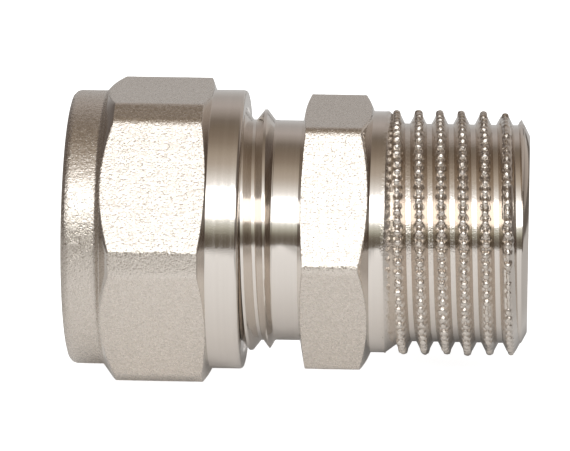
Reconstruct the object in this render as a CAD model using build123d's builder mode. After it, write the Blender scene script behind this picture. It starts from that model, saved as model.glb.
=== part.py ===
from build123d import *
import os
from math import ceil, radians, sqrt, tan

# Compression coupling for a 16 x 2 multilayer pipe and a half-inch male pipe thread.
# All sizes are in millimetres. The axis lies along X: the end of the male thread is at x = 0,
# the body runs towards -X, and the nut is at the far end, turned hand-tight on its thread.

# Pipe and pipe thread that the coupling is made for
pipe_outside_diameter = 16.0
pipe_inside_diameter = 12.0
inch = 25.4
threads_per_inch = 14
thread_crest_diameter = 20.32
thread_half_angle = 27.5
thread_root_flat = 0.40

# Male end of the body
male_thread_length = 11.88
male_root_diameter = 18.34
male_run_out_angle = 37.0
male_groove_start = 1.44
nose_diameter = 16.5
nose_angle = 27.0
port_bore_diameter = 14.4
port_bore_depth = 10.5
port_cone_angle = 59.0
port_edge_chamfer = 0.4

# Hexagon of the body, with the plain shoulder beside the male thread
shoulder_length = 1.28
body_hex_width = 20.9
body_hex_length = 6.0
body_hex_edge_radius = 0.4
body_hex_port_chamfer_angle = 24.0
body_hex_nut_chamfer_angle = 16.0

# Neck and threaded sleeve that carry the nut
neck_length = 2.27
neck_diameter = 18.46
neck_wall_angle = 29.0
sleeve_length = 8.2
sleeve_root_diameter = 18.50
sleeve_groove_start = 1.18
sleeve_end_chamfer_angle = 30.0

# Pipe socket and stem
socket_clearance = 0.10
socket_depth = 4.2
stem_clearance = 0.10
stem_overhang = 7.77
stem_tip_chamfer = 0.7
stem_bore_diameter = 8.2
barb_depth = 0.30
barb_pitch = 1.3
barb_count = 2
barb_distance = 7.4

# Seals on the stem
o_ring_section = 1.2
o_ring_count = 2
o_ring_spacing = 3.2
o_ring_distance = 2.6
o_ring_groove_width = 1.6
o_ring_stretch_gap = 0.05
o_ring_stand_out = 0.20
washer_thickness = 1.0
washer_clearance = 0.12

# Split clamping ring
ring_length = 6.2
ring_wall = 0.85
ring_bore_clearance = 0.10
ring_cone_angle = 25.0
ring_cone_height = 0.50
ring_slit_width = 1.6
ring_groove_count = 3
ring_groove_depth = 0.22
ring_groove_width = 0.7
ring_groove_pitch = 1.3
ring_entry = 0.5
seat_gap = 0.10

# Nut
nut_length = 14.62
nut_lip_length = 3.09
nut_mouth_clearance = 0.25
nut_mouth_chamfer = 0.45
nut_hex_width = 23.80
nut_hex_edge_bevel = 1.18
nut_clocking = -1.5
nut_outer_collar_diameter = 23.1
nut_outer_collar_length = 2.87
nut_outer_chamfer_angle = 36.0
nut_outer_rim_radius = 0.35
nut_inner_collar_diameter = 23.5
nut_inner_collar_length = 2.70
nut_inner_chamfer_angle = 20.0
nut_inner_rim_radius = 0.25
nut_thread_radial_gap = 0.15
nut_thread_flank_gap = 0.10
nut_thread_lead_in = 0.35
nut_relief_width = 1.7
nut_relief_depth = 0.10
nut_thread_length = 7.1

# Overshoot of cutting shapes past the surface that they cut, and of thread cutters in turns
cut_margin = 0.3
cutter_overrun = 1.0

# Pitch and radii
thread_pitch = inch / threads_per_inch
crest_radius = thread_crest_diameter / 2
male_root_radius = male_root_diameter / 2
sleeve_root_radius = sleeve_root_diameter / 2
neck_radius = neck_diameter / 2
nose_radius = nose_diameter / 2
port_radius = port_bore_diameter / 2
stem_bore_radius = stem_bore_diameter / 2
stem_radius = pipe_inside_diameter / 2 - stem_clearance
socket_radius = pipe_outside_diameter / 2 + socket_clearance
ring_inner_radius = pipe_outside_diameter / 2 + ring_bore_clearance
ring_outer_radius = ring_inner_radius + ring_wall
ring_end_radius = ring_outer_radius - ring_cone_height
mouth_radius = pipe_outside_diameter / 2 + nut_mouth_clearance
nut_minor_radius = sleeve_root_radius + nut_thread_radial_gap
nut_major_radius = crest_radius + nut_thread_radial_gap
relief_radius = nut_major_radius + nut_relief_depth
o_ring_radius = stem_radius + o_ring_stand_out - o_ring_section / 2
o_ring_groove_radius = o_ring_radius - o_ring_section / 2 - o_ring_stretch_gap

# Places along the axis, from the male end to the nut
port_end = 0.0
shoulder_edge = port_end - male_thread_length
hex_port_face = shoulder_edge - shoulder_length
hex_nut_face = hex_port_face - body_hex_length
neck_end = hex_nut_face - neck_length
sleeve_end = neck_end - sleeve_length
socket_floor = sleeve_end + socket_depth
stem_tip = sleeve_end - stem_overhang
ring_port_end = sleeve_end + ring_entry
ring_nut_end = ring_port_end - ring_length
nut_outer_face = ring_nut_end - nut_lip_length
nut_inner_face = nut_outer_face + nut_length
nut_hex_outer = nut_outer_face + nut_outer_collar_length
nut_hex_inner = nut_inner_face - nut_inner_collar_length
nut_thread_end = nut_inner_face - nut_thread_length

# Thread form: a groove of the body's threads, and the wider groove of the nut that runs over their ridges
flank_slope = tan(radians(thread_half_angle))
ring_cone_slope = tan(radians(ring_cone_angle))
seat_offset = seat_gap / ring_cone_slope


def groove_outline(root_radius):
    """Half-section corners of a groove between two ridges, as distance along the axis and radius."""
    top = crest_radius + cut_margin
    half_root = thread_root_flat / 2
    half_top = half_root + flank_slope * (top - root_radius)
    return [(-half_root, root_radius), (half_root, root_radius), (half_top, top), (-half_top, top)]


def nut_groove_outline():
    """Half-section corners of the nut's groove, which clears a ridge of the sleeve all round."""
    ridge_half = (thread_pitch - thread_root_flat) / 2 + nut_thread_flank_gap
    foot = nut_minor_radius - cut_margin
    half_foot = ridge_half - flank_slope * (foot - sleeve_root_radius)
    half_top = ridge_half - flank_slope * (nut_major_radius - sleeve_root_radius)
    return [(-half_foot, foot), (half_foot, foot), (half_top, nut_major_radius), (-half_top, nut_major_radius)]


def helical_groove(start, turns, outline):
    """Right-hand helical cutter that runs towards -X from start, at the bottom of the part."""
    path_radius = outline[0][1]
    with BuildPart() as cutter:
        with BuildLine() as helix:
            Helix(thread_pitch, turns * thread_pitch, path_radius, (start, 0, 0), (-1, 0, 0))
        across = Plane(origin=helix.line @ 0, x_dir=(1, 0, 0), z_dir=-(helix.line % 0))
        with BuildSketch(across):
            with BuildLine():
                Polyline([(along, radius - path_radius) for along, radius in outline], close=True)
            make_face()
        sweep(path=helix.line, is_frenet=True)
    return cutter.part


def turned(points):
    """Solid turned about the axis from a closed half-section of (x, radius) corners."""
    with BuildPart() as lathe:
        with BuildSketch(Plane.XY):
            with BuildLine():
                Polyline(points, close=True)
            make_face()
        revolve(axis=Axis.X)
    return lathe.part


# Male end: threaded stub whose grooves run out at the shoulder, with a coned nose
male_turns = (male_groove_start + male_thread_length) / thread_pitch + cutter_overrun
run_out_slope = tan(radians(male_run_out_angle))
run_out_foot = shoulder_edge + (crest_radius - male_root_radius) / run_out_slope
run_out_top = crest_radius + 2 * cut_margin
run_out = turned([
    (run_out_foot, male_root_radius - cut_margin),
    (run_out_foot, male_root_radius),
    (shoulder_edge - 2 * cut_margin / run_out_slope, run_out_top),
    (hex_nut_face, run_out_top),
    (hex_nut_face, male_root_radius - cut_margin),
])
male_cutter = helical_groove(port_end + male_groove_start, male_turns, groove_outline(male_root_radius))
male_groove = male_cutter - run_out
nose_taper = tan(radians(nose_angle))
with BuildPart() as male_end:
    with BuildSketch(Plane.YZ.offset(hex_port_face)):
        Circle(crest_radius)
    extrude(amount=port_end - hex_port_face)
    add(male_groove, mode=Mode.SUBTRACT)
    with BuildSketch(Plane.XY):
        with BuildLine():
            Polyline(
                (port_end + nose_taper * cut_margin, nose_radius - cut_margin),
                (port_end - nose_taper * (crest_radius + cut_margin - nose_radius), crest_radius + cut_margin),
                (port_end + nose_taper * cut_margin, crest_radius + cut_margin),
                close=True,
            )
        make_face()
    revolve(axis=Axis.X, mode=Mode.SUBTRACT)

# Sleeve: threaded for the nut, with a neck beside the hexagon and a coned end
groove_start = hex_nut_face - sleeve_groove_start
sleeve_turns = (groove_start - sleeve_end) / thread_pitch + cutter_overrun
sleeve_groove = helical_groove(groove_start, sleeve_turns, groove_outline(sleeve_root_radius))
neck_slope = tan(radians(neck_wall_angle))
sleeve_taper = tan(radians(sleeve_end_chamfer_angle))
sleeve_rise = crest_radius + cut_margin - sleeve_root_radius
with BuildPart() as sleeve:
    with BuildSketch(Plane.YZ.offset(sleeve_end)):
        Circle(crest_radius)
    extrude(amount=hex_nut_face - sleeve_end)
    add(sleeve_groove, mode=Mode.SUBTRACT)
    with BuildSketch(Plane.XY):
        with BuildLine():
            Polyline(
                (hex_nut_face + cut_margin, neck_radius),
                (hex_nut_face + cut_margin, crest_radius + cut_margin),
                (neck_end - neck_slope * (crest_radius + cut_margin - neck_radius), crest_radius + cut_margin),
                (neck_end, neck_radius),
                close=True,
            )
        make_face()
        with BuildLine():
            Polyline(
                (sleeve_end - sleeve_taper * cut_margin, sleeve_root_radius - cut_margin),
                (sleeve_end + sleeve_taper * sleeve_rise, crest_radius + cut_margin),
                (sleeve_end - sleeve_taper * cut_margin, crest_radius + cut_margin),
                close=True,
            )
        make_face()
    revolve(axis=Axis.X, mode=Mode.SUBTRACT)

# Hexagon of the body: flats up and down, ends turned to cones
body_hex_corner = body_hex_width / sqrt(3)
port_chamfer = tan(radians(body_hex_port_chamfer_angle)) * (body_hex_corner - crest_radius)
nut_chamfer = tan(radians(body_hex_nut_chamfer_angle)) * (body_hex_corner - neck_radius)
with BuildPart() as body_hex:
    with BuildSketch(Plane.YZ.offset(hex_nut_face)) as hexagon:
        RegularPolygon(body_hex_width / 2, 6, major_radius=False)
        fillet(hexagon.vertices(), body_hex_edge_radius)
    extrude(amount=body_hex_length)
    with BuildSketch(Plane.XY):
        with BuildLine():
            Polyline(
                (hex_nut_face, 0),
                (hex_nut_face, neck_radius),
                (hex_nut_face + nut_chamfer, body_hex_corner),
                (hex_port_face - port_chamfer, body_hex_corner),
                (hex_port_face, crest_radius),
                (hex_port_face, 0),
                close=True,
            )
        make_face()
    revolve(axis=Axis.X, mode=Mode.INTERSECT)

# Body: the three outside forms as one piece, then the pipe socket, the stem in it and the waterway
seat_depth = ring_entry + (ring_end_radius - socket_radius) / ring_cone_slope + seat_offset
seat_mouth_radius = socket_radius + seat_depth * ring_cone_slope
port_cone = (port_radius - stem_bore_radius) / tan(radians(port_cone_angle))
with BuildPart() as body:
    add(body_hex.part)
    add(male_end.part)
    add(sleeve.part)
    with BuildSketch(Plane.XY):
        with BuildLine():
            Polyline(
                (socket_floor, 0),
                (socket_floor, socket_radius),
                (sleeve_end + seat_depth, socket_radius),
                (sleeve_end, seat_mouth_radius),
                (sleeve_end - cut_margin, seat_mouth_radius),
                (sleeve_end - cut_margin, 0),
                close=True,
            )
        make_face()
    revolve(axis=Axis.X, mode=Mode.SUBTRACT)
    with BuildSketch(Plane.XY):
        with BuildLine():
            Polyline(
                (socket_floor, 0),
                (socket_floor, stem_radius),
                (stem_tip + stem_tip_chamfer, stem_radius),
                (stem_tip, stem_radius - stem_tip_chamfer / 2),
                (stem_tip, 0),
                close=True,
            )
        make_face()
        for i in range(o_ring_count):
            with Locations((stem_tip + o_ring_distance + i * o_ring_spacing, o_ring_groove_radius)):
                Rectangle(
                    o_ring_groove_width,
                    stem_radius,
                    align=(Align.CENTER, Align.MIN),
                    mode=Mode.SUBTRACT,
                )
        for i in range(barb_count):
            barb_edge = stem_tip + barb_distance + i * barb_pitch
            with BuildLine():
                Polyline(
                    (barb_edge, stem_radius + cut_margin),
                    (barb_edge, stem_radius - barb_depth),
                    (barb_edge + barb_pitch, stem_radius),
                    (barb_edge + barb_pitch, stem_radius + cut_margin),
                    close=True,
                )
            make_face(mode=Mode.SUBTRACT)
    revolve(axis=Axis.X)
    with BuildSketch(Plane.XY):
        with BuildLine():
            Polyline(
                (port_end + cut_margin, 0),
                (port_end + cut_margin, port_radius + port_edge_chamfer + cut_margin),
                (port_end - port_edge_chamfer, port_radius),
                (port_end - port_bore_depth, port_radius),
                (port_end - port_bore_depth - port_cone, stem_bore_radius),
                (stem_tip - cut_margin, stem_bore_radius),
                (stem_tip - cut_margin, 0),
                close=True,
            )
        make_face()
    revolve(axis=Axis.X, mode=Mode.SUBTRACT)

# O-rings in the grooves of the stem
o_rings = []
for i in range(o_ring_count):
    with BuildPart() as o_ring:
        with BuildSketch(Plane.XY):
            with Locations((stem_tip + o_ring_distance + i * o_ring_spacing, o_ring_radius)):
                Circle(o_ring_section / 2)
        revolve(axis=Axis.X)
    o_rings.append(o_ring)

# Insulating washer on the floor of the pipe socket
with BuildPart() as washer:
    with BuildSketch(Plane.YZ.offset(socket_floor - washer_thickness)):
        Circle(socket_radius - washer_clearance)
        Circle(stem_radius + washer_clearance, mode=Mode.SUBTRACT)
    extrude(amount=washer_thickness)

# Split ring: coned at both ends, grooved inside to grip the pipe, slit along the top
ring_cone_length = ring_cone_height / ring_cone_slope
ring_middle = (ring_nut_end + ring_port_end) / 2
with BuildPart() as split_ring:
    with BuildSketch(Plane.XY):
        with BuildLine():
            Polyline(
                (ring_nut_end, ring_inner_radius),
                (ring_nut_end, ring_end_radius),
                (ring_nut_end + ring_cone_length, ring_outer_radius),
                (ring_port_end - ring_cone_length, ring_outer_radius),
                (ring_port_end, ring_end_radius),
                (ring_port_end, ring_inner_radius),
                close=True,
            )
        make_face()
        for i in range(ring_groove_count):
            groove_centre = ring_middle + (i - (ring_groove_count - 1) / 2) * ring_groove_pitch
            with BuildLine():
                Polyline(
                    (groove_centre - ring_groove_width / 2, ring_inner_radius),
                    (groove_centre, ring_inner_radius + ring_groove_depth),
                    (groove_centre + ring_groove_width / 2, ring_inner_radius),
                    (groove_centre, ring_inner_radius - cut_margin),
                    close=True,
                )
            make_face(mode=Mode.SUBTRACT)
    revolve(axis=Axis.X)
    with BuildSketch(Plane.XY.offset(ring_inner_radius / 2)):
        with Locations((ring_middle, 0)):
            Rectangle(ring_length + 2 * cut_margin, ring_slit_width)
    extrude(amount=ring_outer_radius, mode=Mode.SUBTRACT)

# Nut: hexagon with coned ends between two round collars, a thread inside and a coned seat for the ring
ridge_start = groove_start - thread_pitch / 2
lead_turns = ceil((nut_inner_face - ridge_start) / thread_pitch + cutter_overrun)
nut_groove_start = ridge_start + lead_turns * thread_pitch
nut_groove_end = nut_thread_end - nut_relief_width / 2
nut_turns = (nut_groove_start - nut_groove_end) / thread_pitch
nut_groove = helical_groove(nut_groove_start, nut_turns, nut_groove_outline())
nut_hex_corner = nut_hex_width / sqrt(3)
outer_collar_radius = nut_outer_collar_diameter / 2
inner_collar_radius = nut_inner_collar_diameter / 2
outer_chamfer = tan(radians(nut_outer_chamfer_angle)) * (nut_hex_corner - outer_collar_radius)
inner_chamfer = tan(radians(nut_inner_chamfer_angle)) * (nut_hex_corner - inner_collar_radius)
nut_seat_foot = ring_nut_end - seat_offset + (mouth_radius - ring_end_radius) / ring_cone_slope
nut_seat_top = nut_seat_foot + (nut_minor_radius - mouth_radius) / ring_cone_slope
lead_in_radius = nut_major_radius + nut_thread_lead_in
with BuildPart() as nut:
    with BuildSketch(Plane.YZ.offset(nut_hex_outer)) as hexagon:
        RegularPolygon(nut_hex_width / 2, 6, major_radius=False, rotation=nut_clocking)
        chamfer(hexagon.vertices(), nut_hex_edge_bevel)
    extrude(amount=nut_hex_inner - nut_hex_outer)
    with BuildSketch(Plane.XY):
        with BuildLine():
            Polyline(
                (nut_hex_outer, 0),
                (nut_hex_outer, outer_collar_radius),
                (nut_hex_outer + outer_chamfer, nut_hex_corner),
                (nut_hex_inner - inner_chamfer, nut_hex_corner),
                (nut_hex_inner, inner_collar_radius),
                (nut_hex_inner, 0),
                close=True,
            )
        make_face()
    revolve(axis=Axis.X, mode=Mode.INTERSECT)
    with BuildSketch(Plane.XY) as outer_collar:
        with Locations((nut_outer_face, 0)):
            Rectangle(nut_outer_collar_length, outer_collar_radius, align=(Align.MIN, Align.MIN))
        rim = outer_collar.vertices().group_by(Axis.Y)[-1].sort_by(Axis.X)[0]
        fillet(rim, nut_outer_rim_radius)
    revolve(axis=Axis.X)
    with BuildSketch(Plane.XY) as inner_collar:
        with Locations((nut_inner_face, 0)):
            Rectangle(nut_inner_collar_length, inner_collar_radius, align=(Align.MAX, Align.MIN))
        rim = inner_collar.vertices().group_by(Axis.Y)[-1].sort_by(Axis.X)[-1]
        fillet(rim, nut_inner_rim_radius)
    revolve(axis=Axis.X)
    with BuildSketch(Plane.YZ.offset(nut_seat_top)):
        Circle(nut_minor_radius)
    extrude(amount=nut_inner_face - nut_seat_top, mode=Mode.SUBTRACT)
    add(nut_groove, mode=Mode.SUBTRACT)
    with BuildSketch(Plane.XY):
        with Locations((nut_thread_end, 0)):
            Rectangle(nut_relief_width, relief_radius, align=(Align.MAX, Align.MIN))
        with BuildLine():
            Polyline(
                (nut_inner_face + cut_margin, 0),
                (nut_inner_face + cut_margin, lead_in_radius + cut_margin),
                (nut_inner_face - lead_in_radius, 0),
                close=True,
            )
        make_face()
        with BuildLine():
            Polyline(
                (nut_outer_face - cut_margin, 0),
                (nut_outer_face - cut_margin, mouth_radius + nut_mouth_chamfer + cut_margin),
                (nut_outer_face + nut_mouth_chamfer, mouth_radius),
                (nut_seat_foot, mouth_radius),
                (nut_seat_top, nut_minor_radius),
                (nut_seat_top, 0),
                close=True,
            )
        make_face()
    revolve(axis=Axis.X, mode=Mode.SUBTRACT)

# Named pieces
os.makedirs("parts", exist_ok=True)
pieces = {
    "body": body,
    "o_ring_outer": o_rings[0],
    "o_ring_inner": o_rings[1],
    "insulating_washer": washer,
    "split_ring": split_ring,
    "nut": nut,
}
for name, piece in pieces.items():
    piece.part.label = name
    export_step(piece.part, f"parts/{name}.step")
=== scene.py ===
import math
import random

import bmesh
import bpy
from mathutils import Matrix, Quaternion, Vector, noise


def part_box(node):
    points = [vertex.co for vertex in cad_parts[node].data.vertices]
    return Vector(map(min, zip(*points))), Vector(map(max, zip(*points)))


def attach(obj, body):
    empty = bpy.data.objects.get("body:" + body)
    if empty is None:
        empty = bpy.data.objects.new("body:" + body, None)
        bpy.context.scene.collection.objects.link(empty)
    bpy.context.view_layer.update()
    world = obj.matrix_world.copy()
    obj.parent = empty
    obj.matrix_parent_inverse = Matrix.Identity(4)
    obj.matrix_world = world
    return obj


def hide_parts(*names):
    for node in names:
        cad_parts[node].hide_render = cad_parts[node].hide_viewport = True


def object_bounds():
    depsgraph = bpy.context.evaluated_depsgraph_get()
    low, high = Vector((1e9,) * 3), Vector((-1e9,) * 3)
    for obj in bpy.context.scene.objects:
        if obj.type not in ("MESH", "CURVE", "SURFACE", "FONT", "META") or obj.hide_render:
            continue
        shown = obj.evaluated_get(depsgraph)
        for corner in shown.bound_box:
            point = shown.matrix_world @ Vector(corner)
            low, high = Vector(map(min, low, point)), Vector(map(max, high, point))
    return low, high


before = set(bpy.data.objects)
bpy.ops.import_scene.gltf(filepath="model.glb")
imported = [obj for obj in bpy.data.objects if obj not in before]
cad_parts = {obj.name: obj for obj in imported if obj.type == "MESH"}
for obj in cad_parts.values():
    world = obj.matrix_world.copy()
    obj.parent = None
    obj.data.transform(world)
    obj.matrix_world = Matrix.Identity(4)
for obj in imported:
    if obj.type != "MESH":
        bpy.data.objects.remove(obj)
cad_low, cad_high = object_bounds()

# Sizes and places are in millimetres, along the axis (x) and from it (radius).
MM = 0.001


def reach(node):
    """Ends of a solid along the axis, in millimetres."""
    low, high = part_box(node)
    return low.x / MM, high.x / MM


stem_tip, port_end = reach("body")
nut_outer_face, nut_inner_face = reach("nut")
ring_nut_end, ring_port_end = reach("split_ring")
washer_front, socket_floor = reach("insulating_washer")

# Threads: the same right-hand pitch on the male end and under the nut
inch = 25.4
threads_per_inch = 14
pitch = inch / threads_per_inch
crest_radius = 10.16
flank_slope = math.tan(math.radians(27.5))
root_flat = 0.40
male_root_radius = 9.17
sleeve_root_radius = 9.30
sleeve_crest_flat = 0.22
sleeve_root_flat = 0.25
male_ridge_at_top = port_end - 0.284
sleeve_ridge_at_top = port_end - 22.154

# How deep a ridge's foot lies under the surface that carries it
ridge_sunk = 0.1
# How much lower than its crest a ridge's foot is pressed where the ridge runs out
pressed_foot = 0.15
# How deep the end of a ridge hides under the nose, the neck and the shoulder
hidden_under_cone = 0.01
hidden_under_shoulder = 0.05
shoulder_overlap = 0.1

# Body, from the male end to the stem
nose_radius = 8.25
nose_taper = math.tan(math.radians(27.0))
port_radius = 7.2
port_depth = 10.5
port_cone = 1.863
port_edge = 0.4
male_thread_length = 11.88
shoulder_edge = port_end - male_thread_length
male_ridge_start = shoulder_edge - 0.9
male_ridge_end = port_end - 0.4
run_out_slope = math.tan(math.radians(37.0))
shoulder_length = 1.28
hex_port_face = shoulder_edge - shoulder_length
shoulder_corner = hex_port_face + 0.06
body_hex_length = 6.0
hex_nut_face = hex_port_face - body_hex_length
body_flat = 10.45
body_edge = 11.93
body_port_taper = math.tan(math.radians(24.0))
body_nut_taper = math.tan(math.radians(10.7))
body_clocking = math.radians(0.8)
neck_corner = hex_nut_face + 0.14
neck_radius = 9.27
neck_length = 2.0
neck_end = hex_nut_face - neck_length
neck_taper = math.tan(math.radians(29.0))
sleeve_reach = 10.47
sleeve_end = hex_nut_face - sleeve_reach
sleeve_taper = math.tan(math.radians(30.0))
sleeve_ridge_start = sleeve_end + 0.02
sleeve_ridge_end = hex_nut_face - 0.3
sleeve_last_turn = neck_end + 1.0
socket_radius = 8.1
seat_depth = 1.465
seat_mouth_radius = 8.783
stem_radius = 5.9
stem_bore_radius = 4.1
stem_tip_length = 0.7
stem_tip_drop = 0.35
first_barb = stem_tip + 7.4
barb_pitch = 1.3
barb_edges = (first_barb, first_barb + barb_pitch)
barb_depth = 0.3
barb_face = 0.001
o_ring_radius = 5.5
o_ring_half = 0.6
groove_radius = 4.85
groove_half = 0.8
washer_clearance = 0.12

# Nut
nut_flat = 11.90
nut_edge = 13.15
nut_clocking = math.radians(-1.5)
outer_collar_radius = 11.55
outer_collar_length = 2.87
outer_collar_end = nut_outer_face + outer_collar_length
outer_taper = math.tan(math.radians(36.0))
inner_collar_radius = 11.75
inner_collar_length = 2.70
inner_collar_end = nut_inner_face - inner_collar_length
inner_taper = math.tan(math.radians(20.0))
mouth_radius = 8.25
mouth_edge = 0.45
nut_major_radius = 10.21
nut_minor_radius = 9.40
nut_flank_gap = 0.1
nut_ridge_sunk = 0.05
nut_ridge_spread = 0.03
lead_in = 0.12
nut_thread_length = 7.1
nut_thread_end = nut_inner_face - nut_thread_length
relief_width = 1.7
relief_radius = 10.41
seat_foot = nut_outer_face + 2.447
seat_top = nut_outer_face + 4.913

# Clamping ring
ring_inner_radius = 8.1
ring_outer_radius = 8.95
ring_end_radius = 8.45
ring_cone = (ring_outer_radius - ring_end_radius) / math.tan(math.radians(25.0))
ring_groove_places = (1.3, 0.0, -1.3)
ring_groove_half = 0.35
ring_groove_depth = 0.22
slit_half = 0.8

# Hexagons: the blank stands a little outside their edges before the flats are pressed in
blank_margin = 0.1
outside_depth = 1.0
forged_softness = 0.22
edge_softness = 0.12
# How far the blank is pressed in where the sand-blasted skin starts and where it is full
blasted_start = -0.10
blasted_full = 0.12
# Uneven skin of the forgings: fine lumps, and coarser ones on top of them
forged_height = 0.008
forged_grain = 0.30
coarse_grain = 2.3
coarse_share = 0.6
# Outside of the nut: the outer collar is blasted with the hexagon, the inner one hardly
nut_hex_overlap = 0.3
nut_blasted_overlap = 0.4
nut_mouth_rim = 0.2
collar_grain = 0.04

# Notched crests of the male thread
beads_per_turn = 72
samples_per_bead = 8
bead_half = 0.37
bead_height = 0.13
notch_depth = 0.14
bead_width = 1.30
notch_width = 0.30
bead_matt = 0.85
bead_roughness = 0.035
bead_lumps = 0.16
crown_half = 0.22
crown_drop = 0.5
knurl_depth = 0.36

# How the beads differ along the thread, from the shoulder to the nose
bead_seed = 7
bead_turns = 9
first_bead_size = 1.15
bead_size_loss = 0.3
bead_size_spread = (0.75, 1.2)
patchy_from = 0.70
patchy_share = 0.5
patchy_size = (0.1, 0.6)
bead_early = 0.08
bead_aside = 0.05

# Bites of the knurling wheel in the shoulder's edge
bite_reach = 0.3
bite_above_root = 0.4
bite_turns = 3.4
bite_full_gap = 0.45
bite_last_gap = 1.0
bite_fade_start = 0.14
bite_fade_end = 0.20
bite_patches = 0.9
bite_evenness = 0.5
bite_push = 0.08
bite_lift = 0.05
bitten_length = 0.35

# Dull cone between the shoulder and the thread's root
run_out_matt = 0.45
run_out_fade = 0.45
run_out_margin = 0.3
run_out_depth = 0.1

# Fineness of the meshes
turn_steps = 384
sleeve_ridge_steps = 240
nut_ridge_steps = 120
ring_steps = 160
seal_steps = 126
seal_sides = 24
flat_spacing = 0.15
bite_spacing = 0.1
bite_fine_back = 0.4
bite_fine_front = 0.8


def mesh_piece(bm, name, material, sharp_degrees):
    """Makes an object of the mesh, smooth but for edges sharper than the given angle."""
    limit = math.radians(sharp_degrees)
    for face in bm.faces:
        face.smooth = True
    for edge in bm.edges:
        edge.smooth = edge.calc_face_angle(0.0) < limit
    mesh = bpy.data.meshes.new(name)
    bm.to_mesh(mesh)
    bm.free()
    mesh.materials.append(material)
    piece = bpy.data.objects.new(name, mesh)
    bpy.context.scene.collection.objects.link(piece)
    weighted = piece.modifiers.new("even_shading", "WEIGHTED_NORMAL")
    weighted.keep_sharp = True
    weighted.weight = 90
    return piece


def outline(corners):
    """Closed half-section from (x, radius, rounding) corners, drawn above the axis."""
    bm = bmesh.new()
    face = bm.faces.new([bm.verts.new((x * MM, 0.0, radius * MM)) for x, radius, _ in corners])
    rounded = {}
    for vert, corner in zip(face.verts, corners):
        rounded.setdefault(corner[2], []).append(vert)
    for size, verts in rounded.items():
        if size > 0:
            bmesh.ops.bevel(bm, geom=verts, offset=size * MM, offset_type="OFFSET", segments=3,
                            profile=0.5, affect="VERTICES", material=-1, clamp_overlap=True)
    return bm


def divide(bm, low, high, spacing):
    """Divides the outline's edges between two places along the axis."""
    for edge in bm.edges[:]:
        middle = (edge.verts[0].co.x + edge.verts[1].co.x) / 2 / MM
        cuts = int(edge.calc_length() / MM / spacing)
        if cuts and low < middle < high:
            bmesh.ops.subdivide_edges(bm, edges=[edge], cuts=cuts)


def copies(bm, count, place):
    """Adds copies of the mesh, each set by place(bm, verts, number), and joins them where they meet."""
    first = bm.verts[:] + bm.edges[:] + bm.faces[:]
    for i in range(1, count):
        copy = bmesh.ops.duplicate(bm, geom=first)["geom"]
        place(bm, [item for item in copy if isinstance(item, bmesh.types.BMVert)], i)
    bmesh.ops.remove_doubles(bm, verts=bm.verts[:], dist=1e-7)
    bmesh.ops.recalc_face_normals(bm, faces=bm.faces[:])


def turn_round(bm, steps):
    """Turns the outline about the axis: one sixth is spun, five copies close the ring."""
    bmesh.ops.delete(bm, geom=bm.faces[:], context="FACES_ONLY")
    bmesh.ops.spin(bm, geom=bm.verts[:] + bm.edges[:], cent=(0, 0, 0), axis=(1, 0, 0), dvec=(0, 0, 0),
                   angle=math.pi / 3, steps=steps // 6, use_merge=False)
    copies(bm, 6, lambda bm, verts, i: bmesh.ops.rotate(
        bm, verts=verts, cent=(0, 0, 0), matrix=Matrix.Rotation(i * math.pi / 3, 3, "X")))


def ridge(corners, start, end, at_top, steps_per_turn):
    """Helical ridge of whole turns past two places along the axis.

    Each corner is its x, its radius and the number of cuts in the side after it.
    """
    first_turn = math.floor((start - at_top) / pitch)
    turns = math.ceil((end - at_top) / pitch) - first_turn
    bm = bmesh.new()
    offset = at_top + first_turn * pitch
    face = bm.faces.new([bm.verts.new(((x + offset) * MM, 0.0, radius * MM)) for x, radius, _ in corners])
    for edge, corner in zip([loop.edge for loop in face.loops], corners):
        if corner[2]:
            bmesh.ops.subdivide_edges(bm, edges=[edge], cuts=corner[2])
    bmesh.ops.delete(bm, geom=bm.faces[:], context="FACES_ONLY")
    bmesh.ops.spin(bm, geom=bm.verts[:] + bm.edges[:], cent=(0, 0, 0), axis=(1, 0, 0),
                   dvec=(pitch / steps_per_turn * MM, 0, 0), angle=2 * math.pi,
                   steps=steps_per_turn, use_merge=False)
    copies(bm, turns, lambda bm, verts, i: bmesh.ops.translate(
        bm, verts=verts, vec=(i * pitch * MM, 0, 0)))
    return bm


def trim(bm, place, keep_below):
    """Cuts the mesh square to the axis and closes the cut."""
    cut = bmesh.ops.bisect_plane(bm, geom=bm.verts[:] + bm.edges[:] + bm.faces[:], dist=1e-8,
                                 plane_co=(place * MM, 0, 0), plane_no=(1, 0, 0),
                                 clear_outer=keep_below, clear_inner=not keep_below)
    edges = [item for item in cut["geom_cut"] if isinstance(item, bmesh.types.BMEdge)]
    bmesh.ops.edgeloop_fill(bm, edges=edges)


def limit_radius(bm, foot, crest, limit):
    """Presses a ridge in to the radius that limit(x) allows; its foot stays below its crest."""
    for vert in bm.verts:
        radius = math.hypot(vert.co.y, vert.co.z) / MM
        below_crest = min(max((crest - radius) / (crest - foot), 0.0), 1.0)
        allowed = limit(vert.co.x / MM) - pressed_foot * below_crest
        if radius > allowed:
            vert.co.yz = vert.co.yz * (allowed / radius)


def smooth_step(low, high, value):
    """Rises smoothly from 0 at the low value to 1 at the high one."""
    share = min(max((value - low) / (high - low), 0.0), 1.0)
    return share * share * (3 - 2 * share)


def soft_minimum(a, b, softness):
    """The smaller of two values, with the change from one to the other rounded."""
    share = min(max(0.5 + 0.5 * (b - a) / softness, 0.0), 1.0)
    return b + (a - b) * share - softness * share * (1 - share)


def hexagon_radius(angle, flat, edge, softness):
    """Distance from the axis to a hexagon with bevelled edges, at an angle from the middle of a flat."""
    sixth = math.pi / 3
    away = abs((angle + sixth / 2) % sixth - sixth / 2)
    return soft_minimum(flat / math.cos(away), edge / math.cos(sixth / 2 - away), softness)


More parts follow.
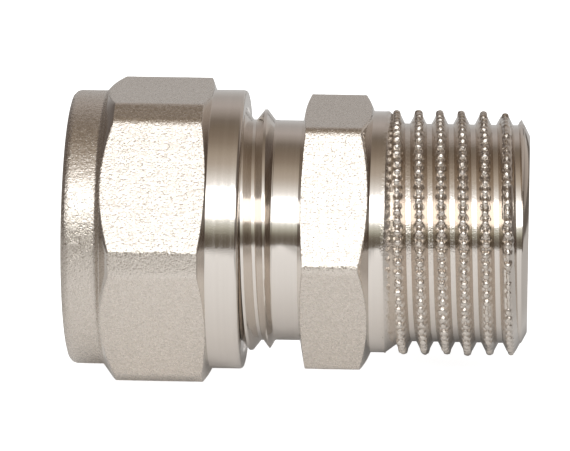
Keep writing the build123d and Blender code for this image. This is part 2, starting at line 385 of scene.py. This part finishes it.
def forge_hexagon(bm, low, high, flat, edge, clocking):
    """Presses six flats into the turned blank, and notes where the surface is sand-blasted."""
    blasted = bm.verts.layers.float.new("blasted")
    for vert in bm.verts:
        radius = math.hypot(vert.co.y, vert.co.z) / MM
        if low < vert.co.x / MM < high and radius > flat - outside_depth:
            angle = math.atan2(vert.co.z, vert.co.y) - math.pi / 6 - clocking
            target = hexagon_radius(angle, flat, edge, edge_softness)
            vert.co.yz = vert.co.yz * (soft_minimum(radius, target, forged_softness) / radius)
            vert[blasted] = smooth_step(blasted_start, blasted_full, radius - target)


def roughen(bm):
    """Gives the sand-blasted part of a mesh the uneven skin of a forging."""
    blasted = bm.verts.layers.float["blasted"]
    for vert in bm.verts:
        if vert[blasted] > 0:
            lump = noise.noise(vert.co / (forged_grain * MM))
            lump += coarse_share * noise.noise(vert.co / (forged_grain * coarse_grain * MM))
            lift = 1 + lump * forged_height * vert[blasted] * MM / math.hypot(vert.co.y, vert.co.z)
            vert.co.yz = vert.co.yz * lift


# Materials: scales are in cells per metre, depths in metres, colours for the dark and the light patches
turned_colours = ((0.70, 0.645, 0.59, 1), (0.79, 0.735, 0.68, 1))
turned_roughness = (0.04, 0.18)
lathe_marks = (9000, 60, 60)
lathe_streaks = (2600, 25, 25)
lathe_height = 0.05
blasted_colours = ((0.62, 0.56, 0.495, 1), (0.74, 0.675, 0.61, 1))
blasted_roughness = (0.22, 0.32)
blasted_patches = (0.6, 1.1)
grain_scale = 7000
grain_share = 0.8
pit_scale = 3800
skin_share = 0.75
glint_scale = 8500
glint_height = 0.36
glint_cells = (0.52, 0.60)
glint_reach = 0.55
plating_depth = 0.00005

brass_colours = ((0.62, 0.42, 0.16, 1), (0.80, 0.60, 0.28, 1))
brass_roughness = (0.18, 0.34)
brass_marks = (7000, 60, 60)
tarnish_scale = 600
brass_depth = 0.000003

rubber_colours = ((0.012, 0.012, 0.013, 1), (0.035, 0.034, 0.033, 1))
rubber_roughness = (0.42, 0.62)
dust_scale = 3000
rubber_depth = 0.000006

plastic_colours = ((0.80, 0.80, 0.77, 1), (0.88, 0.88, 0.86, 1))
plastic_roughness = (0.38, 0.52)
cloud_scale = 900
plastic_depth = 0.000008


class Nodes:
    """A node tree, with short ways to add nodes to it."""

    def __init__(self, tree):
        self.nodes = tree.nodes
        self.links = tree.links

    def join(self, value, socket):
        """Links another node's output to the socket, or sets a constant on it."""
        if isinstance(value, bpy.types.NodeSocket):
            self.links.new(value, socket)
        else:
            socket.default_value = value

    def add(self, kind, inputs=None, **settings):
        node = self.nodes.new(kind)
        for key, value in settings.items():
            setattr(node, key, value)
        for key, value in (inputs or {}).items():
            self.join(value, node.inputs[key])
        return node

    def math(self, operation, a, b=0.0):
        return self.add("ShaderNodeMath", {0: a, 1: b}, operation=operation).outputs[0]

    def mix(self, share, a, b):
        return self.add("ShaderNodeMix", {0: share, 2: a, 3: b}).outputs[0]

    def mix_colour(self, share, a, b):
        return self.add("ShaderNodeMix", {0: share, 6: a, 7: b}, data_type="RGBA").outputs[2]

    def spread(self, value, low, high, from_low=0.3, from_high=0.7, curve="LINEAR"):
        """Maps a value from one range to another, held at both ends."""
        return self.add("ShaderNodeMapRange", {0: value, 1: from_low, 2: from_high, 3: low, 4: high},
                        interpolation_type=curve).outputs[0]


class Finish(Nodes):
    """A material's nodes, laid out on Object coordinates."""

    def __init__(self, name):
        self.material = bpy.data.materials.new(name)
        self.material.use_nodes = True
        super().__init__(self.material.node_tree)
        self.shader = self.nodes["Principled BSDF"]
        self.place = self.add("ShaderNodeTexCoord").outputs["Object"]

    def noise(self, scale, detail=2.0, roughness=0.5, stretch=None):
        place = self.place
        if stretch:
            place = self.add("ShaderNodeMapping", {"Vector": place, "Scale": stretch}).outputs[0]
        return self.add("ShaderNodeTexNoise", {"Vector": place, "Scale": scale, "Detail": detail,
                                               "Roughness": roughness}).outputs["Fac"]

    def glints(self):
        """Small steep mounds on part of the cells of a grain."""
        cells = self.add("ShaderNodeTexVoronoi", {"Vector": self.place, "Scale": glint_scale}).outputs
        chosen = self.spread(cells["Color"], 0.0, glint_height, *glint_cells)
        mound = self.spread(cells["Distance"], 1.0, 0.0, 0.0, glint_reach)
        return self.math("MULTIPLY", chosen, mound)

    def bump(self, height, distance):
        return self.add("ShaderNodeBump", {"Height": height, "Distance": distance,
                                           "Strength": 1.0}).outputs[0]

    def surface(self, **sockets):
        for key, value in sockets.items():
            self.join(value, self.shader.inputs[key.replace("_", " ")])


def plated_finish():
    """Nickel on brass: turned bright with fine lathe marks, matt and grainy where it was blasted."""
    finish = Finish("nickel_plated_brass")
    blasted = finish.add("ShaderNodeAttribute", attribute_name="blasted").outputs["Fac"]
    lathe = finish.noise(1.0, 2.0, 0.6, stretch=lathe_marks)
    streak = finish.noise(1.0, 3.0, 0.6, stretch=lathe_streaks)
    grain = finish.noise(grain_scale, 1.0, 0.5)
    pits = finish.noise(pit_scale, 2.0, 0.55)
    skin = finish.math("ADD", finish.math("MULTIPLY", grain, grain_share), pits)
    relief = finish.math("ADD", finish.math("MULTIPLY", skin, skin_share), finish.glints())
    patches = finish.spread(skin, 0.0, 1.0, *blasted_patches)
    colour_turned = finish.mix_colour(streak, *turned_colours)
    colour_blasted = finish.mix_colour(patches, *blasted_colours)
    rough_turned = finish.spread(streak, *turned_roughness)
    rough_blasted = finish.spread(pits, *blasted_roughness)
    height = finish.mix(blasted, finish.math("MULTIPLY", lathe, lathe_height), relief)
    finish.surface(Base_Color=finish.mix_colour(blasted, colour_turned, colour_blasted),
                   Metallic=1.0, Roughness=finish.mix(blasted, rough_turned, rough_blasted),
                   Normal=finish.bump(height, plating_depth))
    return finish.material


def brass_finish():
    """Bare turned brass, slightly tarnished."""
    finish = Finish("turned_brass")
    lathe = finish.noise(1.0, 2.0, 0.6, stretch=brass_marks)
    tarnish = finish.noise(tarnish_scale, 4.0)
    finish.surface(Base_Color=finish.mix_colour(tarnish, *brass_colours), Metallic=1.0,
                   Roughness=finish.spread(tarnish, *brass_roughness),
                   Normal=finish.bump(lathe, brass_depth))
    return finish.material


def rubber_finish():
    """Black rubber with a little dust."""
    finish = Finish("seal_rubber")
    dust = finish.noise(dust_scale, 4.0)
    finish.surface(Base_Color=finish.mix_colour(dust, *rubber_colours),
                   Roughness=finish.spread(dust, *rubber_roughness),
                   Normal=finish.bump(dust, rubber_depth))
    return finish.material


def washer_finish():
    """White plastic, faintly clouded."""
    finish = Finish("washer_plastic")
    cloud = finish.noise(cloud_scale, 4.0)
    finish.surface(Base_Color=finish.mix_colour(cloud, *plastic_colours),
                   Roughness=finish.spread(cloud, *plastic_roughness),
                   Normal=finish.bump(cloud, plastic_depth))
    return finish.material


plated = plated_finish()
brass = brass_finish()
rubber = rubber_finish()
plastic = washer_finish()


# Body


def stem_corners():
    """Half-section of the stem's outside, from the socket's floor to its tip."""
    corners = [(socket_floor, stem_radius, 0.1)]
    for edge in reversed(barb_edges):
        corners += [(edge + barb_pitch, stem_radius, 0.0), (edge, stem_radius - barb_depth, 0.0),
                    (edge - barb_face, stem_radius, 0.05)]
    for node in ("o_ring_inner", "o_ring_outer"):
        middle = sum(reach(node)) / 2
        corners += [(middle + groove_half, stem_radius, 0.08), (middle + groove_half, groove_radius, 0.08),
                    (middle - groove_half, groove_radius, 0.08), (middle - groove_half, stem_radius, 0.08)]
    corners += [(stem_tip + stem_tip_length, stem_radius, 0.1), (stem_tip, stem_radius - stem_tip_drop, 0.1)]
    return corners


def body_piece():
    """Body with its stem, turned from an outline, then knurled at the shoulder and pressed to a hexagon."""
    blank = body_edge + blank_margin
    root_start = port_end - nose_taper * (male_root_radius - nose_radius)
    run_out_foot = shoulder_edge + (crest_radius - male_root_radius) / run_out_slope
    corners = [
        (port_end, nose_radius, 0.06),
        (root_start, male_root_radius, 0.1),
        (run_out_foot, male_root_radius, 0.1),
        (shoulder_edge, crest_radius, 0.06),
        (shoulder_edge - bitten_length, crest_radius, 0.0),
        (shoulder_corner, crest_radius, 0.05),
        (shoulder_corner - body_port_taper * (blank - crest_radius), blank, 0.0),
        (neck_corner + body_nut_taper * (blank - neck_radius), blank, 0.0),
        (neck_corner, neck_radius, 0.05),
        (neck_end, neck_radius, 0.04),
        (neck_end - neck_taper * (sleeve_root_radius - neck_radius), sleeve_root_radius, 0.0),
        (sleeve_end, sleeve_root_radius, 0.06),
        (sleeve_end, seat_mouth_radius, 0.06),
        (sleeve_end + seat_depth, socket_radius, 0.05),
        (socket_floor, socket_radius, 0.1),
        *stem_corners(),
        (stem_tip, stem_bore_radius, 0.15),
        (port_end - port_depth - port_cone, stem_bore_radius, 0.1),
        (port_end - port_depth, port_radius, 0.1),
        (port_end - port_edge, port_radius, 0.05),
        (port_end, port_radius + port_edge, 0.05),
    ]
    bm = outline(corners)
    divide(bm, neck_corner, shoulder_corner, flat_spacing)
    divide(bm, shoulder_edge - bite_fine_back, shoulder_edge + bite_fine_front, bite_spacing)
    turn_round(bm, turn_steps)
    bite_shoulder(bm)
    forge_hexagon(bm, neck_corner, shoulder_corner, body_flat, body_edge, body_clocking)
    dull_run_out(bm, run_out_foot)
    roughen(bm)
    piece = mesh_piece(bm, "coupling_body", plated, sharp_degrees=32)
    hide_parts("body")
    return piece


def dull_run_out(bm, foot):
    """Leaves the cone from the shoulder down to the thread's root less bright than the shoulder."""
    blasted = bm.verts.layers.float["blasted"]
    for vert in bm.verts:
        x = vert.co.x / MM
        radius = math.hypot(vert.co.y, vert.co.z) / MM
        if x < foot + run_out_margin and radius > male_root_radius - run_out_depth:
            dull = run_out_matt * smooth_step(shoulder_edge - run_out_fade, shoulder_edge, x)
            vert[blasted] = max(vert[blasted], dull)


def bead_shapes(count):
    """Size and drift of each bead: bold by the shoulder, faint and patchy near the nose."""
    draw = random.Random(bead_seed)
    shapes = []
    for i in range(count):
        share = i / count
        size = (first_bead_size - bead_size_loss * share) * draw.uniform(*bead_size_spread)
        if share > patchy_from and draw.random() < patchy_share:
            size *= draw.uniform(*patchy_size)
        early = draw.uniform(-bead_early, bead_early)
        aside = draw.uniform(-bead_aside, bead_aside)
        shapes.append((size, early, aside))
    return shapes


beads = bead_shapes(bead_turns * beads_per_turn)


def bead_at(turns):
    """How far the nearest bead stands up, and how far aside it is, at a place along the thread in turns."""
    along = turns * beads_per_turn
    index = round(along)
    size, early, aside = beads[index % len(beads)]
    swell = size * math.sqrt(max(0.0, 1 - ((along - index - early) / bead_half) ** 2))
    return swell, aside


def turned_share(point):
    """Share of a turn from the top, in the sense in which the thread climbs towards the port."""
    return math.atan2(-point.y, point.z) / (2 * math.pi)


def notch_crest(bm):
    """Knurls the crest: swells it to a bead and pinches it to a notch, over and over round the turn."""
    first_turn = math.floor((shoulder_edge - male_ridge_at_top) / pitch) - 1
    blasted = bm.verts.layers.float.new("blasted")
    for vert in bm.verts:
        radius = math.hypot(vert.co.y, vert.co.z) / MM
        near = smooth_step(crest_radius - knurl_depth, crest_radius, radius)
        if near > 0:
            x = vert.co.x / MM
            share = turned_share(vert.co)
            turns = share + round((x - male_ridge_at_top) / pitch - share)
            swell, aside = bead_at(turns - first_turn)
            off = x - male_ridge_at_top - pitch * turns
            vert[blasted] = bead_matt * near
            widen = notch_width + (bead_width - notch_width) * swell
            vert.co.x += near * (off * (widen - 1) + aside * swell) * MM
            crown = 1 - crown_drop * (off / crown_half) ** 2
            lift = (bead_height + notch_depth) * swell * max(crown, 0.0) - notch_depth
            lift += bead_roughness * swell * noise.noise(vert.co / (bead_lumps * MM))
            vert.co.yz = vert.co.yz * (1 + lift * near / radius)


def bite_shoulder(bm):
    """Bites of the knurling wheel into the shoulder's edge, where the thread starts close to it."""
    for vert in bm.verts:
        radius = math.hypot(vert.co.y, vert.co.z) / MM
        away = abs(vert.co.x / MM - shoulder_edge)
        if away < bite_reach and radius > male_root_radius + bite_above_root:
            share = turned_share(vert.co)
            turns = share + math.ceil((shoulder_edge - male_ridge_at_top) / pitch - share)
            gap = male_ridge_at_top + pitch * turns - shoulder_edge
            swell, aside = bead_at(turns + bite_turns)
            bite = swell * (1 - smooth_step(bite_full_gap, bite_last_gap, gap))
            bite *= 1 - (away / bite_reach) ** 2
            bite *= 1 - smooth_step(bite_fade_start, bite_fade_end, share)
            bite *= bite_evenness + noise.noise(vert.co / (bite_patches * MM))
            vert.co.x += (bite_push + aside) * bite * MM
            vert.co.yz = vert.co.yz * (1 + bite_lift * bite / radius)


def male_thread_piece():
    """Male thread's ridge, knurled on its crest, run out under the shoulder and under the nose."""
    foot_radius = male_root_radius - ridge_sunk
    knurl_radius = crest_radius - knurl_depth
    half_crest = (pitch - root_flat) / 2 - flank_slope * (crest_radius - male_root_radius)
    half_foot = half_crest + flank_slope * (crest_radius - male_root_radius + ridge_sunk)
    half_knurl = half_crest + flank_slope * knurl_depth
    section = [(-half_foot, foot_radius, 1), (-half_knurl, knurl_radius, 3), (-half_crest, crest_radius, 5),
               (half_crest, crest_radius, 3), (half_knurl, knurl_radius, 1), (half_foot, foot_radius, 0)]
    bm = ridge(section, male_ridge_start, port_end, male_ridge_at_top, beads_per_turn * samples_per_bead)
    notch_crest(bm)

    def limit(x):
        under_nose = nose_radius + (port_end - x) / nose_taper - hidden_under_cone
        if x < shoulder_edge - shoulder_overlap:
            return min(under_nose, crest_radius - hidden_under_shoulder)
        return under_nose

    limit_radius(bm, foot_radius, crest_radius, limit)
    trim(bm, male_ridge_end, True)
    trim(bm, male_ridge_start, False)
    return mesh_piece(bm, "male_thread", plated, sharp_degrees=40)


def sleeve_thread_piece():
    """Ridge of the sleeve's thread, run out at the sleeve's end and under the neck."""
    foot_radius = sleeve_root_radius - ridge_sunk
    half_crest = sleeve_crest_flat / 2
    half_root = (pitch - sleeve_root_flat) / 2
    slope = (half_root - half_crest) / (crest_radius - sleeve_root_radius)
    half_foot = half_root + slope * ridge_sunk
    section = [(-half_foot, foot_radius, 5), (-half_crest, crest_radius, 2),
               (half_crest, crest_radius, 5), (half_foot, foot_radius, 0)]
    bm = ridge(section, sleeve_end, sleeve_last_turn, sleeve_ridge_at_top, sleeve_ridge_steps)

    def limit(x):
        at_neck = neck_radius - hidden_under_cone + max(0.0, neck_end - x) / neck_taper
        at_end = sleeve_root_radius + max(0.0, x - sleeve_end) / sleeve_taper
        return min(at_neck, at_end)

    limit_radius(bm, foot_radius, crest_radius, limit)
    trim(bm, sleeve_ridge_end, True)
    trim(bm, sleeve_ridge_start, False)
    return mesh_piece(bm, "sleeve_thread", plated, sharp_degrees=40)


# Nut


def nut_piece():
    """Nut turned from an outline, pressed to a hexagon between its two round collars."""
    blank = nut_edge + blank_margin
    corners = [
        (nut_outer_face + mouth_edge, mouth_radius, 0.05),
        (nut_outer_face, mouth_radius + mouth_edge, 0.1),
        (nut_outer_face, outer_collar_radius, 0.6),
        (outer_collar_end, outer_collar_radius, 0.15),
        (outer_collar_end + outer_taper * (blank - outer_collar_radius), blank, 0.0),
        (inner_collar_end - inner_taper * (blank - inner_collar_radius), blank, 0.0),
        (inner_collar_end, inner_collar_radius, 0.05),
        (nut_inner_face, inner_collar_radius, 0.3),
        (nut_inner_face, nut_major_radius + lead_in, 0.05),
        (nut_inner_face - lead_in, nut_major_radius, 0.0),
        (nut_thread_end, nut_major_radius, 0.0),
        (nut_thread_end, relief_radius, 0.0),
        (nut_thread_end - relief_width, relief_radius, 0.05),
        (nut_thread_end - relief_width, nut_minor_radius, 0.05),
        (seat_top, nut_minor_radius, 0.05),
        (seat_foot, mouth_radius, 0.05),
    ]
    bm = outline(corners)
    divide(bm, nut_outer_face - flat_spacing, inner_collar_end, flat_spacing)
    turn_round(bm, turn_steps)
    forge_hexagon(bm, outer_collar_end - nut_hex_overlap, inner_collar_end + nut_hex_overlap,
                  nut_flat, nut_edge, nut_clocking)
    blasted = bm.verts.layers.float["blasted"]
    for vert in bm.verts:
        x = vert.co.x / MM
        outside = math.hypot(vert.co.y, vert.co.z) / MM > mouth_radius + mouth_edge + nut_mouth_rim
        if outside and x < outer_collar_end + nut_blasted_overlap:
            vert[blasted] = 1.0
        elif outside and x > inner_collar_end:
            vert[blasted] = max(vert[blasted], collar_grain)
    roughen(bm)
    piece = mesh_piece(bm, "coupling_nut", plated, sharp_degrees=32)
    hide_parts("nut")
    return piece


def nut_thread_piece():
    """Ridge inside the nut, half a pitch off the sleeve's ridge and clear of its flanks."""
    half_foot = (pitch - root_flat) / 2 - nut_flank_gap
    half_crest = half_foot - flank_slope * (nut_major_radius - nut_minor_radius)
    half_sunk = half_foot + nut_ridge_spread
    sunk_radius = nut_major_radius + nut_ridge_sunk
    section = [(-half_sunk, sunk_radius, 0), (-half_crest, nut_minor_radius, 0),
               (half_crest, nut_minor_radius, 0), (half_sunk, sunk_radius, 0)]
    bm = ridge(section, nut_thread_end, nut_inner_face, sleeve_ridge_at_top + pitch / 2, nut_ridge_steps)
    trim(bm, nut_inner_face - lead_in, True)
    trim(bm, nut_thread_end, False)
    return mesh_piece(bm, "nut_thread", plated, sharp_degrees=40)


# Pieces inside


def split_ring_piece():
    """Clamping ring, coned at both ends and grooved inside, with its slit at the top."""
    inner, outer, end = ring_inner_radius, ring_outer_radius, ring_end_radius
    middle = (ring_nut_end + ring_port_end) / 2
    corners = [(ring_nut_end, inner, 0.04), (ring_nut_end, end, 0.05),
               (ring_nut_end + ring_cone, outer, 0.08), (ring_port_end - ring_cone, outer, 0.08),
               (ring_port_end, end, 0.05), (ring_port_end, inner, 0.04)]
    for place in ring_groove_places:
        corners += [(middle + place + ring_groove_half, inner, 0.0),
                    (middle + place, inner + ring_groove_depth, 0.0),
                    (middle + place - ring_groove_half, inner, 0.0)]
    slit = 2 * math.asin(slit_half / outer)
    bm = outline(corners)
    bmesh.ops.rotate(bm, verts=bm.verts[:], cent=(0, 0, 0), matrix=Matrix.Rotation(slit / 2, 3, "X"))
    bmesh.ops.spin(bm, geom=bm.verts[:] + bm.edges[:] + bm.faces[:], cent=(0, 0, 0), axis=(1, 0, 0),
                   dvec=(0, 0, 0), angle=2 * math.pi - slit, steps=ring_steps, use_merge=False)
    bmesh.ops.recalc_face_normals(bm, faces=bm.faces[:])
    piece = mesh_piece(bm, "clamping_ring", brass, sharp_degrees=30)
    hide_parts("split_ring")
    return piece


def o_ring_piece(node):
    """Rubber ring in a groove of the stem, where its solid lies."""
    middle = sum(reach(node)) / 2
    bm = bmesh.new()
    bmesh.ops.create_circle(bm, segments=seal_sides, radius=o_ring_half * MM, cap_ends=True)
    for vert in bm.verts:
        vert.co = Vector((vert.co.x + middle * MM, 0.0, vert.co.y + o_ring_radius * MM))
    turn_round(bm, seal_steps)
    piece = mesh_piece(bm, node + "_seal", rubber, sharp_degrees=60)
    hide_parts(node)
    return piece


def washer_piece():
    """Plastic washer on the floor of the pipe socket."""
    inner = stem_radius + washer_clearance
    outer = socket_radius - washer_clearance
    bm = outline([(washer_front, inner, 0.1), (washer_front, outer, 0.1),
                  (socket_floor, outer, 0.05), (socket_floor, inner, 0.05)])
    turn_round(bm, seal_steps)
    piece = mesh_piece(bm, "washer", plastic, sharp_degrees=40)
    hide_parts("insulating_washer")
    return piece


for piece, body, slot in (
    (body_piece(), "fitting_body", "plated_body"),
    (male_thread_piece(), "fitting_body", "plated_body"),
    (sleeve_thread_piece(), "fitting_body", "plated_body"),
    (nut_piece(), "union_nut", "plated_nut"),
    (nut_thread_piece(), "union_nut", "plated_nut"),
    (split_ring_piece(), "clamp_ring", "ring_brass"),
    (o_ring_piece("o_ring_outer"), "fitting_body", "seal_rubber"),
    (o_ring_piece("o_ring_inner"), "fitting_body", "seal_rubber"),
    (washer_piece(), "fitting_body", "washer_plastic"),
):
    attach(piece, body)

# Studio: from here on sizes are in metres

# Where the camera and the lamp point
aim = Vector((-20.515, 0.0, 0.395)) * MM

# Floor: its glow to the camera and in the metal, and the places between which its shades change. These
# shades are painted: a painted shadow patch under the male end, and painted shade to the sides and behind,
# which the metal mirrors
floor_half = 3.0
seen_glow = 0.92
mirrored_glow = 0.065
# Painted shadow: a grey patch in the floor's colour under and behind the male end, where the coupling's
# shade falls
painted_shadow_centre = (-0.005, 0.011)
painted_shadow_radii = (0.010, 0.015)
painted_shadow_fade = (0.4, 1.3)
# Painted shade: past a white strip along the coupling, the floor is painted grey to the sides and behind,
# and dark further out, so that the metal mirrors shade there
white_strip = (0.012, 0.032)
painted_shade_behind_range = (0.040, 0.080)
painted_dark_range = (0.105, 0.130)
# Floor colours: white near the coupling, painted grey shade, painted shadow patch, painted dark surround
sheet_white = (0.91, 0.91, 0.91, 1)
painted_shade_grey = (0.52, 0.51, 0.50, 1)
painted_shadow_grey = (0.30, 0.29, 0.28, 1)
painted_dark_surround = (0.10, 0.08, 0.065, 1)

# Colours of the studio by height angle: 0 is level in front, 90 straight up, 180 level at the back
studio_bands = (
    (-180, (0.60, 0.58, 0.56)),
    (0, (0.20, 0.18, 0.15)),
    (5, (0.15, 0.13, 0.105)),
    (10, (0.24, 0.22, 0.18)),
    (15, (0.52, 0.52, 0.44)),
    (20, (0.85, 0.86, 0.80)),
    (24, (1.30, 1.32, 1.30)),
    (50, (1.30, 1.32, 1.34)),
    (56, (0.98, 0.96, 0.93)),
    (63, (0.72, 0.68, 0.63)),
    (70, (0.56, 0.50, 0.43)),
    (80, (0.45, 0.39, 0.32)),
    (90, (0.32, 0.265, 0.21)),
    (98, (0.26, 0.21, 0.165)),
    (108, (0.22, 0.18, 0.14)),
    (116, (0.22, 0.185, 0.155)),
    (126, (0.38, 0.34, 0.31)),
    (137, (0.51, 0.47, 0.45)),
    (155, (0.47, 0.45, 0.44)),
    (180, (0.60, 0.60, 0.60)),
)

# Side walls: how far aside they start and are full, and how far behind the right one turns pale
side_wall = (0.25, 0.60)
side_wall_share = 0.85
side_wall_front = (0.10, 0.078, 0.066, 1)
side_wall_back = (0.50, 0.44, 0.39, 1)
side_wall_turn = (0.20, 0.85)

# White light of the studio, and what the camera sees on top of it
white_light = 0.8
white_seen = 0.2


def floor_finish():
    """White floor: it shows white to the camera and takes the coupling's shadow. It is also painted with a
    shadow patch under the male end and with shade to the sides and behind, which the metal mirrors.
    """
    finish = Finish("white_floor")
    finish.nodes.remove(finish.shader)
    rays = finish.add("ShaderNodeLightPath").outputs
    mirrored = finish.math("MAXIMUM", rays["Is Glossy Ray"], rays["Is Transmission Ray"])
    strength = finish.math("ADD", finish.math("MULTIPLY", mirrored, mirrored_glow),
                           finish.math("MULTIPLY", rays["Is Camera Ray"], seen_glow))
    spot = finish.add("ShaderNodeSeparateXYZ", {0: finish.place}).outputs
    # Painted shadow: the floor's colour darkens in an ellipse under and behind the male end
    painted_shadow_x = finish.math("DIVIDE", finish.math("SUBTRACT", spot["X"], painted_shadow_centre[0]), painted_shadow_radii[0])
    painted_shadow_y = finish.math("DIVIDE", finish.math("SUBTRACT", spot["Y"], painted_shadow_centre[1]), painted_shadow_radii[1])
    painted_shadow_reach = finish.math("ADD", finish.math("MULTIPLY", painted_shadow_x, painted_shadow_x),
                              finish.math("MULTIPLY", painted_shadow_y, painted_shadow_y))
    painted_shadow = finish.spread(painted_shadow_reach, 1.0, 0.0, *painted_shadow_fade)
    # Painted shade: grey off the white strip to the sides and behind, dark further out; seen mirrored in the
    # metal
    aside = finish.math("ABSOLUTE", finish.math("SUBTRACT", spot["X"], aim.x))
    painted_shade_behind_share = finish.spread(spot["Y"], 0.0, 1.0, *painted_shade_behind_range)
    painted_shade_share = finish.math("MAXIMUM", finish.spread(aside, 0.0, 1.0, *white_strip), painted_shade_behind_share)
    painted_dark_share = finish.spread(aside, 0.0, 1.0, *painted_dark_range)
    white = finish.mix_colour(painted_shade_share, sheet_white, painted_shade_grey)
    # The painted shadow patch is laid on the floor's colour
    with_painted_shadow = finish.mix_colour(painted_shadow, white, painted_shadow_grey)
    sheet = finish.mix_colour(painted_dark_share, with_painted_shadow, painted_dark_surround)
    paper = finish.add("ShaderNodeBsdfDiffuse", {"Color": sheet}).outputs[0]
    glow = finish.add("ShaderNodeEmission", {"Color": (1, 1, 1, 1), "Strength": strength}).outputs[0]
    both = finish.add("ShaderNodeAddShader", {0: paper, 1: glow}).outputs[0]
    finish.join(both, finish.nodes["Material Output"].inputs["Surface"])
    return finish.material


def floor_piece():
    """Flat floor under the lowest point of the coupling."""
    bm = bmesh.new()
    bmesh.ops.create_grid(bm, x_segments=8, y_segments=8, size=floor_half)
    bmesh.ops.translate(bm, verts=bm.verts[:], vec=(0, 0, cad_low.z))
    mesh = bpy.data.meshes.new("floor")
    bm.to_mesh(mesh)
    bm.free()
    mesh.materials.append(floor_finish())
    floor = bpy.data.objects.new("floor", mesh)
    bpy.context.scene.collection.objects.link(floor)


def studio_world():
    """Studio round the part: the metal mirrors its bands and side walls, all else sees plain white."""
    world = bpy.data.worlds.new("studio")
    world.use_nodes = True
    bpy.context.scene.world = world
    studio = Nodes(world.node_tree)
    place = studio.add("ShaderNodeTexCoord").outputs["Generated"]
    direction = studio.add("ShaderNodeSeparateXYZ", {0: place}).outputs
    forwards = studio.math("MULTIPLY", direction["Y"], -1.0)
    tilt = studio.math("ARCTAN2", direction["Z"], forwards)
    turned = studio.math("ADD", studio.math("DIVIDE", tilt, 2 * math.pi), 0.5)
    bands = studio.add("ShaderNodeValToRGB", {0: turned})
    stops = bands.color_ramp.elements
    while len(stops) < len(studio_bands):
        stops.new(0.5)
    for stop, (degrees, colour) in zip(stops, studio_bands):
        stop.position = (degrees + 180) / 360
        stop.color = (*colour, 1)
    aside = studio.spread(studio.math("ABSOLUTE", direction["X"]), 0.0, side_wall_share, *side_wall,
                          curve="SMOOTHSTEP")
    behind = studio.spread(direction["Y"], 0.0, 1.0, *side_wall_turn)
    on_right = studio.math("GREATER_THAN", direction["X"], 0.0)
    sides = studio.mix_colour(studio.math("MULTIPLY", behind, on_right), side_wall_front, side_wall_back)
    walls = studio.mix_colour(aside, bands.outputs[0], sides)
    mirrored = studio.nodes["Background"]
    studio.join(walls, mirrored.inputs["Color"])
    rays = studio.add("ShaderNodeLightPath").outputs
    strength = studio.math("ADD", white_light, studio.math("MULTIPLY", rays["Is Camera Ray"], white_seen))
    white = studio.add("ShaderNodeBackground", {"Color": (1, 1, 1, 1), "Strength": strength})
    in_metal = studio.math("MAXIMUM", rays["Is Glossy Ray"], rays["Is Transmission Ray"])
    mix = studio.add("ShaderNodeMixShader", {0: in_metal, 1: white.outputs[0], 2: mirrored.outputs[0]})
    studio.join(mix.outputs[0], studio.nodes["World Output"].inputs["Surface"])


def view_direction(azimuth, elevation):
    """Direction from the part to a viewer, in degrees from the front and from level."""
    a = math.radians(azimuth)
    e = math.radians(elevation)
    return Vector((math.sin(a) * math.cos(e), -math.cos(a) * math.cos(e), math.sin(e)))


def soft_box(name, azimuth, elevation, distance, width, height, radiance):
    """Flat lamp that faces the part; its power follows from how bright its face looks."""
    lamp = bpy.data.lights.new(name, "AREA")
    lamp.shape = "RECTANGLE"
    lamp.size = width
    lamp.size_y = height
    lamp.energy = radiance * math.pi * width * height
    lamp.color = (0.96, 0.98, 1.0)
    holder = bpy.data.objects.new(name, lamp)
    bpy.context.scene.collection.objects.link(holder)
    away = view_direction(azimuth, elevation)
    holder.location = aim + away * distance
    holder.rotation_euler = (-away).to_track_quat("-Z", "Y").to_euler()


floor_piece()
studio_world()
soft_box("front_box", azimuth=3.0, elevation=36.0, distance=0.60, width=1.15, height=0.27, radiance=1.75)

# Camera, where the photograph was taken from
camera_azimuth = 3.1
camera_elevation = 14.9
camera_distance = 0.375
camera_roll = math.radians(0.22)
lens_pixels = 4446.0
image_width = 570.0
camera = bpy.data.cameras.new("camera")
camera.sensor_width = 36.0
camera.lens = camera.sensor_width * lens_pixels / image_width
camera.clip_start = 0.01
camera.clip_end = 20.0
holder = bpy.data.objects.new("camera", camera)
bpy.context.scene.collection.objects.link(holder)
towards_camera = view_direction(camera_azimuth, camera_elevation)
holder.location = aim + towards_camera * camera_distance
level = (-towards_camera).to_track_quat("-Z", "Y")
holder.rotation_euler = (level @ Quaternion((0, 0, 1), camera_roll)).to_euler()
bpy.context.scene.camera = holder
bpy.context.scene.view_settings.view_transform = "Standard"
